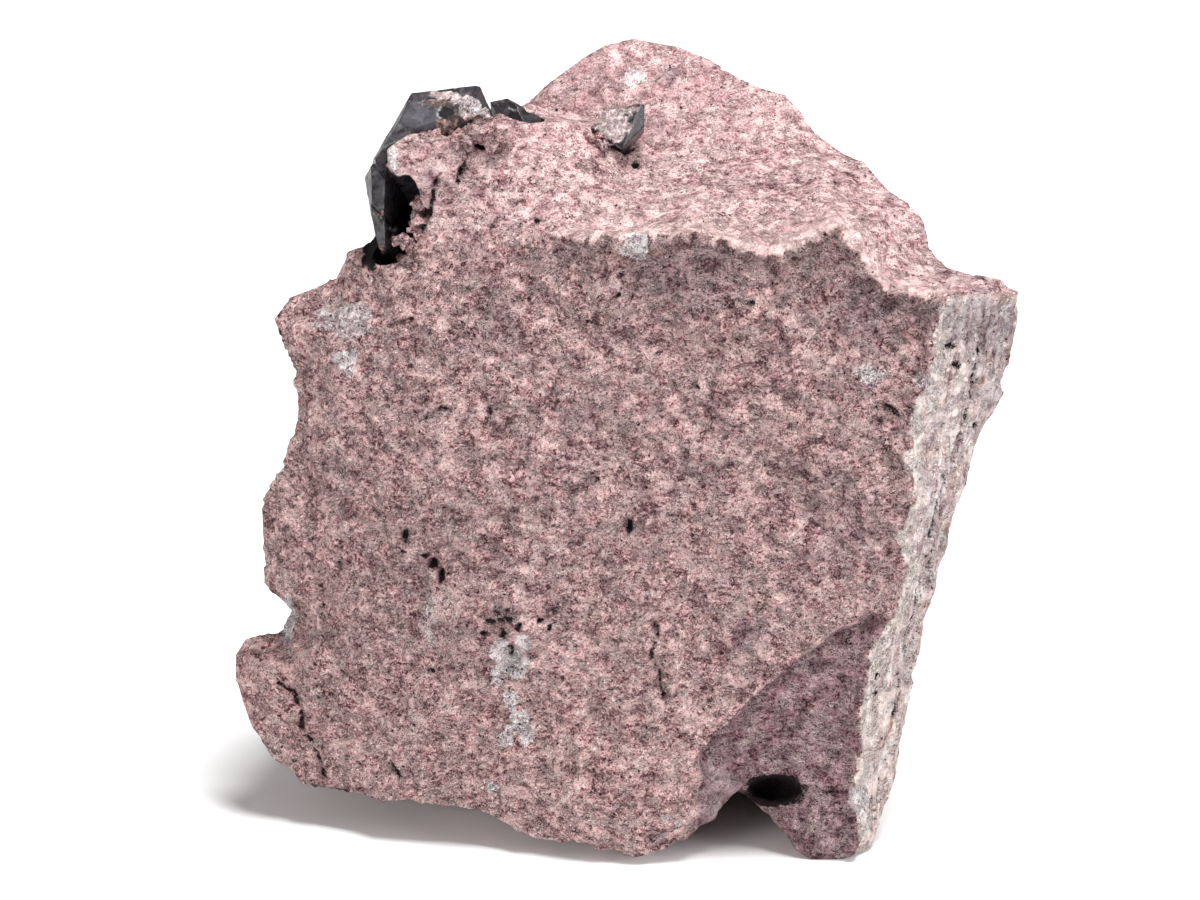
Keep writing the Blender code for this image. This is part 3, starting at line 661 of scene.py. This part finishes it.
# Dark gaps between flakes, fewer of them on the top, pale wisps, specks, and painted shade in the cracks, pits
# and hollows.
gaps = grain(tree, per_mm=2.3, detail=3.0, rough=0.65, stretch=(0.8, 1.0, 1.2), distortion=1.6, shift=11.0)
gap_places = share(tree, grain(tree, per_mm=0.9, detail=2.0, rough=0.5, shift=29.0), low=0.40, high=0.56)
gap_share = times(tree, thin_lines(tree, gaps, wide=0.060), gap_places)
not_top = sum_of(tree, times(tree, painted(tree, "top"), TOP_GAPS), 1.0)
gap_share = times(tree, gap_share, not_top)
colour = tinted(tree, gap_share, colour, GAP_TINT)
wisps = grain(tree, per_mm=2.4, detail=3.0, rough=0.65, stretch=(0.8, 1.0, 1.2), distortion=1.8, shift=17.0)
wisp_places = share(tree, grain(tree, per_mm=0.8, detail=2.0, rough=0.5, shift=33.0), low=0.42, high=0.58)
wisp_share = times(tree, thin_lines(tree, wisps, wide=0.055), wisp_places)
colour = mix(tree, times(tree, wisp_share, WISP_COVER), colour, WISP)
specks = share(tree, grain(tree, per_mm=2.2, detail=3.0, rough=0.6, shift=5.0), low=0.335, high=0.30)
colour = mix(tree, specks, colour, SPECK)
recess_shade_places = sum_of(tree, painted(tree, "dark"), times(tree, fine, DARK_RAGGED))
colour = mix(tree, share(tree, recess_shade_places, low=1.50, high=1.90), colour, RECESS_SHADE)
tree.links.new(colour, shader.inputs["Base Color"])

relief = sum_of(tree, hackle, times(tree, gap_share, GAP_HIGH))
relief = sum_of(tree, relief, times(tree, plates, PLATE_HIGH))
relief = sum_of(tree, relief, times(tree, specks, SPECK_HIGH))
bump = shader_node(tree, "ShaderNodeBump", Height=relief, Strength=1.0, Distance=HACKLE_DEEP)
tree.links.new(bump.outputs["Normal"], shader.inputs["Normal"])
block_mesh.materials.clear()
block_mesh.materials.append(rock)
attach(block, "root")
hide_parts("matrix")

# --- Garnets ---
# Near-black crystals with flat, faintly stepped faces and a greasy gloss. The imported crystals already have
# their faces; the edges are eased, and tan and white coatings, rust, a deep pit and a crack are worked in. A
# painted bluish-grey sheen lies on two faces, and the pit and crack are painted black as shade.
GARNET_EDGE = 0.07 * MM
GARNET_GRAIN = 0.26 * MM
GARNET_ROUNDS = 6
GARNET_SHARP = math.radians(12.0)
GARNET_SMOOTH = math.radians(20.0)
GARNETS = (
    ("garnet_cluster", "garnet_crystals"),
    ("garnet_second", "garnet_low_crystal"),
    ("garnet_small", "garnet_little_crystal"),
)
# Painted patches: (across, up), half width, half height, strength.
COATED = (
    (-13.9, 59.0, 1.4, 0.35, 0.8), (-12.6, 58.6, 1.0, 0.4, 0.7), (-1.1, 56.7, 1.6, 1.6, 0.75),
    (-0.3, 57.8, 1.4, 0.4, 0.7), (-17.9, 48.7, 0.5, 0.3, 0.5),
)
RUSTED = (
    (-13.7, 56.5, 0.8, 0.9, 1.1), (-18.9, 47.1, 0.4, 0.6, 0.9), (-18.9, 50.0, 0.3, 0.25, 1.2),
    (-14.4, 58.3, 1.2, 0.4, 0.7), (-12.6, 57.4, 0.6, 0.6, 0.7), (-10.0, 57.1, 0.6, 0.3, 0.9),
)
# Faces painted with a lighter bluish-grey sheen, standing for the light they reflect.
SHEEN_FACES = ((-15.9, 57.3, 1.9, 1.2, 1.1), (-18.4, 53.4, 0.6, 2.6, 0.4))
# Painted black: the first entry is shade in the deep pit; the others are black spots.
BLACK_SPOTS_AND_PIT_SHADE = (
    (-13.85, 57.55, 0.50, 0.50, 1.3), (-7.6, 57.8, 0.5, 0.25, 1.0), (-8.6, 58.1, 0.4, 0.2, 0.8),
    (-12.9, 56.1, 0.3, 0.3, 0.9),
)
GARNET_CRACK = ((-19.5, 50.4), (-18.7, 49.6), (-18.2, 49.2), (-17.8, 48.8))
# The relief of the faces in mm: stepped growth, rust, the pit and the crack.
GROWTH_BROAD = (1.6, 1.6, 0.9)
GROWTH_STEPS = 2.5
GROWTH_HIGH = 0.02
RUST_BROAD = 0.35
RUST_HIGH = 0.12
PIT_DEEP = 0.15
CRACK_DEEP = 0.15
CRACK_WIDE = 0.09
# Its colours run from clean faces to dusty ones; rust and the coating have ramps of their own.
GARNET_DARK = ((0.36, (0.012, 0.009, 0.011)), (0.54, (0.027, 0.023, 0.027)), (0.70, (0.065, 0.057, 0.062)))
# The painted sheen of the faces that catch the light.
GARNET_PAINTED_SHEEN = (0.062, 0.057, 0.072, 1.0)
# Near-black: painted shade in the pit and the crack, and the colour of the black spots.
GARNET_BLACK_AND_PIT_SHADE = (0.003, 0.002, 0.002, 1.0)
RUST = ((0.36, (0.016, 0.010, 0.010)), (0.50, (0.068, 0.040, 0.036)), (0.66, (0.27, 0.17, 0.145)))
COAT = ((0.36, (0.08, 0.06, 0.062)), (0.50, (0.26, 0.200, 0.198)), (0.66, (0.66, 0.55, 0.53)))
SHEEN_COVER = 0.6
GARNET_SPECULAR = 0.45
GARNET_ROUGH = 0.22
FILM_DULLING = 0.25
COAT_DULLING = 0.55
DUST_DEEP = 0.05 * MM

garnet = bpy.data.materials.new("garnet")
garnet.use_nodes = True
tree = garnet.node_tree
shader = tree.nodes["Principled BSDF"]
shader.inputs["Specular IOR Level"].default_value = GARNET_SPECULAR
film = grain(tree, per_mm=0.9, detail=5.0, rough=0.7, distortion=0.8)
colour = ramp(tree, film, GARNET_DARK)
colour = mix(tree, times(tree, painted(tree, "painted_sheen"), SHEEN_COVER), colour, GARNET_PAINTED_SHEEN)
dust = grain(tree, per_mm=2.6, detail=4.0, rough=0.75, distortion=0.6)
rust_share = share(tree, sum_of(tree, painted(tree, "rust"), dust), low=0.72, high=1.10)
coat_share = share(tree, sum_of(tree, painted(tree, "coat"), dust), low=0.70, high=1.05)
colour = mix(tree, rust_share, colour, ramp(tree, dust, RUST))
colour = mix(tree, coat_share, colour, ramp(tree, dust, COAT))
black_and_shade_share = share(tree, painted(tree, "black"), low=0.30, high=0.60)
colour = mix(tree, black_and_shade_share, colour, GARNET_BLACK_AND_PIT_SHADE)
tree.links.new(colour, shader.inputs["Base Color"])
dull = sum_of(tree, sum_of(tree, rust_share, coat_share, "MAXIMUM"), black_and_shade_share, "MAXIMUM")
filmed = times(tree, share(tree, film, low=0.40, high=0.70), FILM_DULLING)
rough = sum_of(tree, sum_of(tree, filmed, GARNET_ROUGH), times(tree, dull, COAT_DULLING))
tree.links.new(rough, shader.inputs["Roughness"])
bump = shader_node(tree, "ShaderNodeBump", Height=dust, Strength=0.5, Distance=DUST_DEEP)
tree.links.new(bump.outputs["Normal"], shader.inputs["Normal"])

for node_name, piece_name in GARNETS:
    crystal = fresh_copy(node_name, piece_name)
    shell = bmesh.from_edit_mesh(crystal.data)
    bpy.ops.mesh.select_all(action="DESELECT")
    for edge in shell.edges:
        edge.select = edge.calc_face_angle(0.0) > GARNET_SHARP
    bmesh.update_edit_mesh(crystal.data)
    bpy.ops.mesh.bevel(offset=GARNET_EDGE, segments=2, profile=0.6, clamp_overlap=True)
    cut_small(crystal, lambda edge: GARNET_GRAIN, GARNET_ROUNDS)
    bpy.ops.object.mode_set(mode="OBJECT")
    places = np.array([vert.co[:] for vert in crystal.data.vertices])
    normals = np.array([vert.normal[:] for vert in crystal.data.vertices])
    spots = places / MM
    local = (places - np.array(PLANE_FOOT)) / MM
    across, up, back = local @ np.array(ACROSS), local @ np.array(UP), local @ np.array(BACK)
    facing = np.ones(across.shape)
    ragged = spot_noise(spots, 0.5) + 0.4 * spot_noise(spots, 0.25, shift=40.0)
    black = patches(BLACK_SPOTS_AND_PIT_SHADE)
    crack = bell(run_distance(GARNET_CRACK) + 0.05 * ragged, CRACK_WIDE)
    growth = np.round(GROWTH_STEPS * spot_noise(spots, GROWTH_BROAD, shift=15.0))
    height = GROWTH_HIGH * growth - PIT_DEEP * black - CRACK_DEEP * crack
    height += RUST_HIGH * patches(RUSTED) * spot_noise(spots, RUST_BROAD)
    moved = np.clip(places + normals * height[:, None] * MM, *cad_box)
    crystal.data.vertices.foreach_set("co", moved.ravel())
    crystal.data.update()
    garnet_paints = (
        ("coat", patches(COATED)),
        ("rust", patches(RUSTED)),
        ("painted_sheen", patches(SHEEN_FACES)),
        # The black attribute holds painted shade in the pit and crack, and the black spots.
        ("black", np.maximum(black, crack)),
    )
    for name, values in garnet_paints:
        crystal.data.attributes.new(name, "FLOAT", "POINT").data.foreach_set("value", values)
    bpy.ops.object.shade_smooth_by_angle(angle=GARNET_SMOOTH)
    crystal.data.materials.clear()
    crystal.data.materials.append(garnet)
    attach(crystal, "root")
    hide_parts(node_name)

# --- Crumbs of rock ---
# A few pale crumbs of rhyolite still cling beside the crystals and in the hollow under them. Each is a small
# ball made ragged: its place across, up and back, then its half width, half height and half depth in mm.
CRUMBS = (
    ((-11.8, 57.7, -3.2), (1.0, 0.7, 0.7)), ((-11.1, 57.0, -2.4), (0.9, 0.7, 0.7)),
    ((-11.4, 56.0, -3.6), (1.6, 0.8, 0.9)), ((-10.2, 55.6, -3.0), (1.3, 0.8, 0.9)),
    ((-12.6, 55.3, -3.9), (1.1, 0.5, 0.7)), ((-2.3, 55.8, -0.1), (0.6, 0.2, 0.4)),
    ((-1.5, 55.2, -0.1), (0.7, 0.2, 0.4)), ((-17.1, 47.7, -1.9), (0.8, 0.6, 0.7)),
    ((-16.1, 47.3, -2.3), (0.6, 0.35, 0.4)), ((-16.0, 48.6, -1.6), (0.7, 0.5, 0.9)),
    ((-15.7, 49.7, -1.4), (0.7, 0.5, 0.9)), ((-15.6, 50.7, -1.4), (0.8, 0.5, 0.9)),
    ((-16.7, 46.4, -1.2), (0.7, 0.4, 0.8)), ((-15.0, 55.7, -4.0), (0.8, 0.35, 0.6)),
)
LUMP_BROAD = 0.55
LUMP_HIGH = 0.75
GRAIN_BROAD = 0.25
GRAIN_HIGH = 0.16
CRUMB_SMOOTH = math.radians(35.0)
CRUMB_CRUST = 0.10
WHITE_CRUST = 0.65
WHITE_ABOVE = (56.9, 57.5)

bpy.ops.object.select_all(action="DESELECT")
crumb_mesh = bpy.data.meshes.new("rock_crumbs")
crumbs = bpy.data.objects.new("rock_crumbs", crumb_mesh)
bpy.context.scene.collection.objects.link(crumbs)
bpy.context.view_layer.objects.active = crumbs
crumbs.select_set(True)
bpy.ops.object.mode_set(mode="EDIT")
for (crumb_across, crumb_up, crumb_back), (wide, tall, long) in CRUMBS:
    spot = on_plane(crumb_across, crumb_up, crumb_back)
    bpy.ops.mesh.primitive_ico_sphere_add(subdivisions=3, radius=MM, location=spot, scale=(wide, long, tall))
bpy.ops.object.mode_set(mode="OBJECT")
places = np.array([vert.co[:] for vert in crumb_mesh.vertices])
normals = np.array([vert.normal[:] for vert in crumb_mesh.vertices])
height = LUMP_HIGH * spot_noise(places / MM, LUMP_BROAD) + GRAIN_HIGH * spot_noise(places / MM, GRAIN_BROAD)
moved = np.clip(places + normals * height[:, None] * MM, *cad_box)
crumb_mesh.vertices.foreach_set("co", moved.ravel())
crumb_mesh.update()
crust = crumb_mesh.attributes.new("crust", "FLOAT", "POINT")
crumb_up = (places - np.array(PLANE_FOOT)) @ np.array(UP) / MM
crust.data.foreach_set("value", CRUMB_CRUST + WHITE_CRUST * step(crumb_up, *WHITE_ABOVE))
bpy.ops.object.shade_smooth_by_angle(angle=CRUMB_SMOOTH)
crumb_mesh.materials.append(rock)
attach(crumbs, "root")

# --- Table and light ---
# A plain pale table; a soft light overhead and a little to the right, two more that fill the left and the
# right from low down, and a dim white room.
TABLE_SIZE = 6.0
TABLE_LEVEL = -0.05 * MM
TABLE_WHITE = (0.93, 0.93, 0.93, 1.0)
TABLE_ROUGH = 0.9
LAMP_AIM = Vector((0.0, 0.0, 0.03))
# Each lamp: its name, its place and width in m, and its power.
LAMPS = (
    ("overhead", (0.12, -0.06, 0.67), 0.30, 7.0),
    ("left_fill", (-0.52, -0.54, 0.08), 0.50, 5.6),
    ("right_fill", (0.60, -0.22, 0.16), 0.40, 3.1),
)
ROOM_LIGHT = 0.25

bpy.ops.object.select_all(action="DESELECT")
bpy.ops.mesh.primitive_plane_add(size=TABLE_SIZE, location=(0.0, 0.0, TABLE_LEVEL))
table = bpy.context.object
table.name = "table"
white = bpy.data.materials.new("table_white")
white.use_nodes = True
white_shader = white.node_tree.nodes["Principled BSDF"]
white_shader.inputs["Base Color"].default_value = TABLE_WHITE
white_shader.inputs["Roughness"].default_value = TABLE_ROUGH
white_shader.inputs["Specular IOR Level"].default_value = 0.0
table.data.materials.append(white)

for name, spot, size, power in LAMPS:
    lamp = bpy.data.lights.new(name, "AREA")
    lamp.shape = "DISK"
    lamp.size = size
    lamp.energy = power
    light = bpy.data.objects.new(name, lamp)
    bpy.context.scene.collection.objects.link(light)
    light.location = spot
    light.rotation_euler = (LAMP_AIM - light.location).to_track_quat("-Z", "Y").to_euler()
world = bpy.data.worlds.new("white_room")
world.use_nodes = True
world.node_tree.nodes["Background"].inputs["Color"].default_value = (1.0, 1.0, 1.0, 1.0)
world.node_tree.nodes["Background"].inputs["Strength"].default_value = ROOM_LIGHT
bpy.context.scene.world = world
bpy.context.scene.view_settings.view_transform = "Standard"
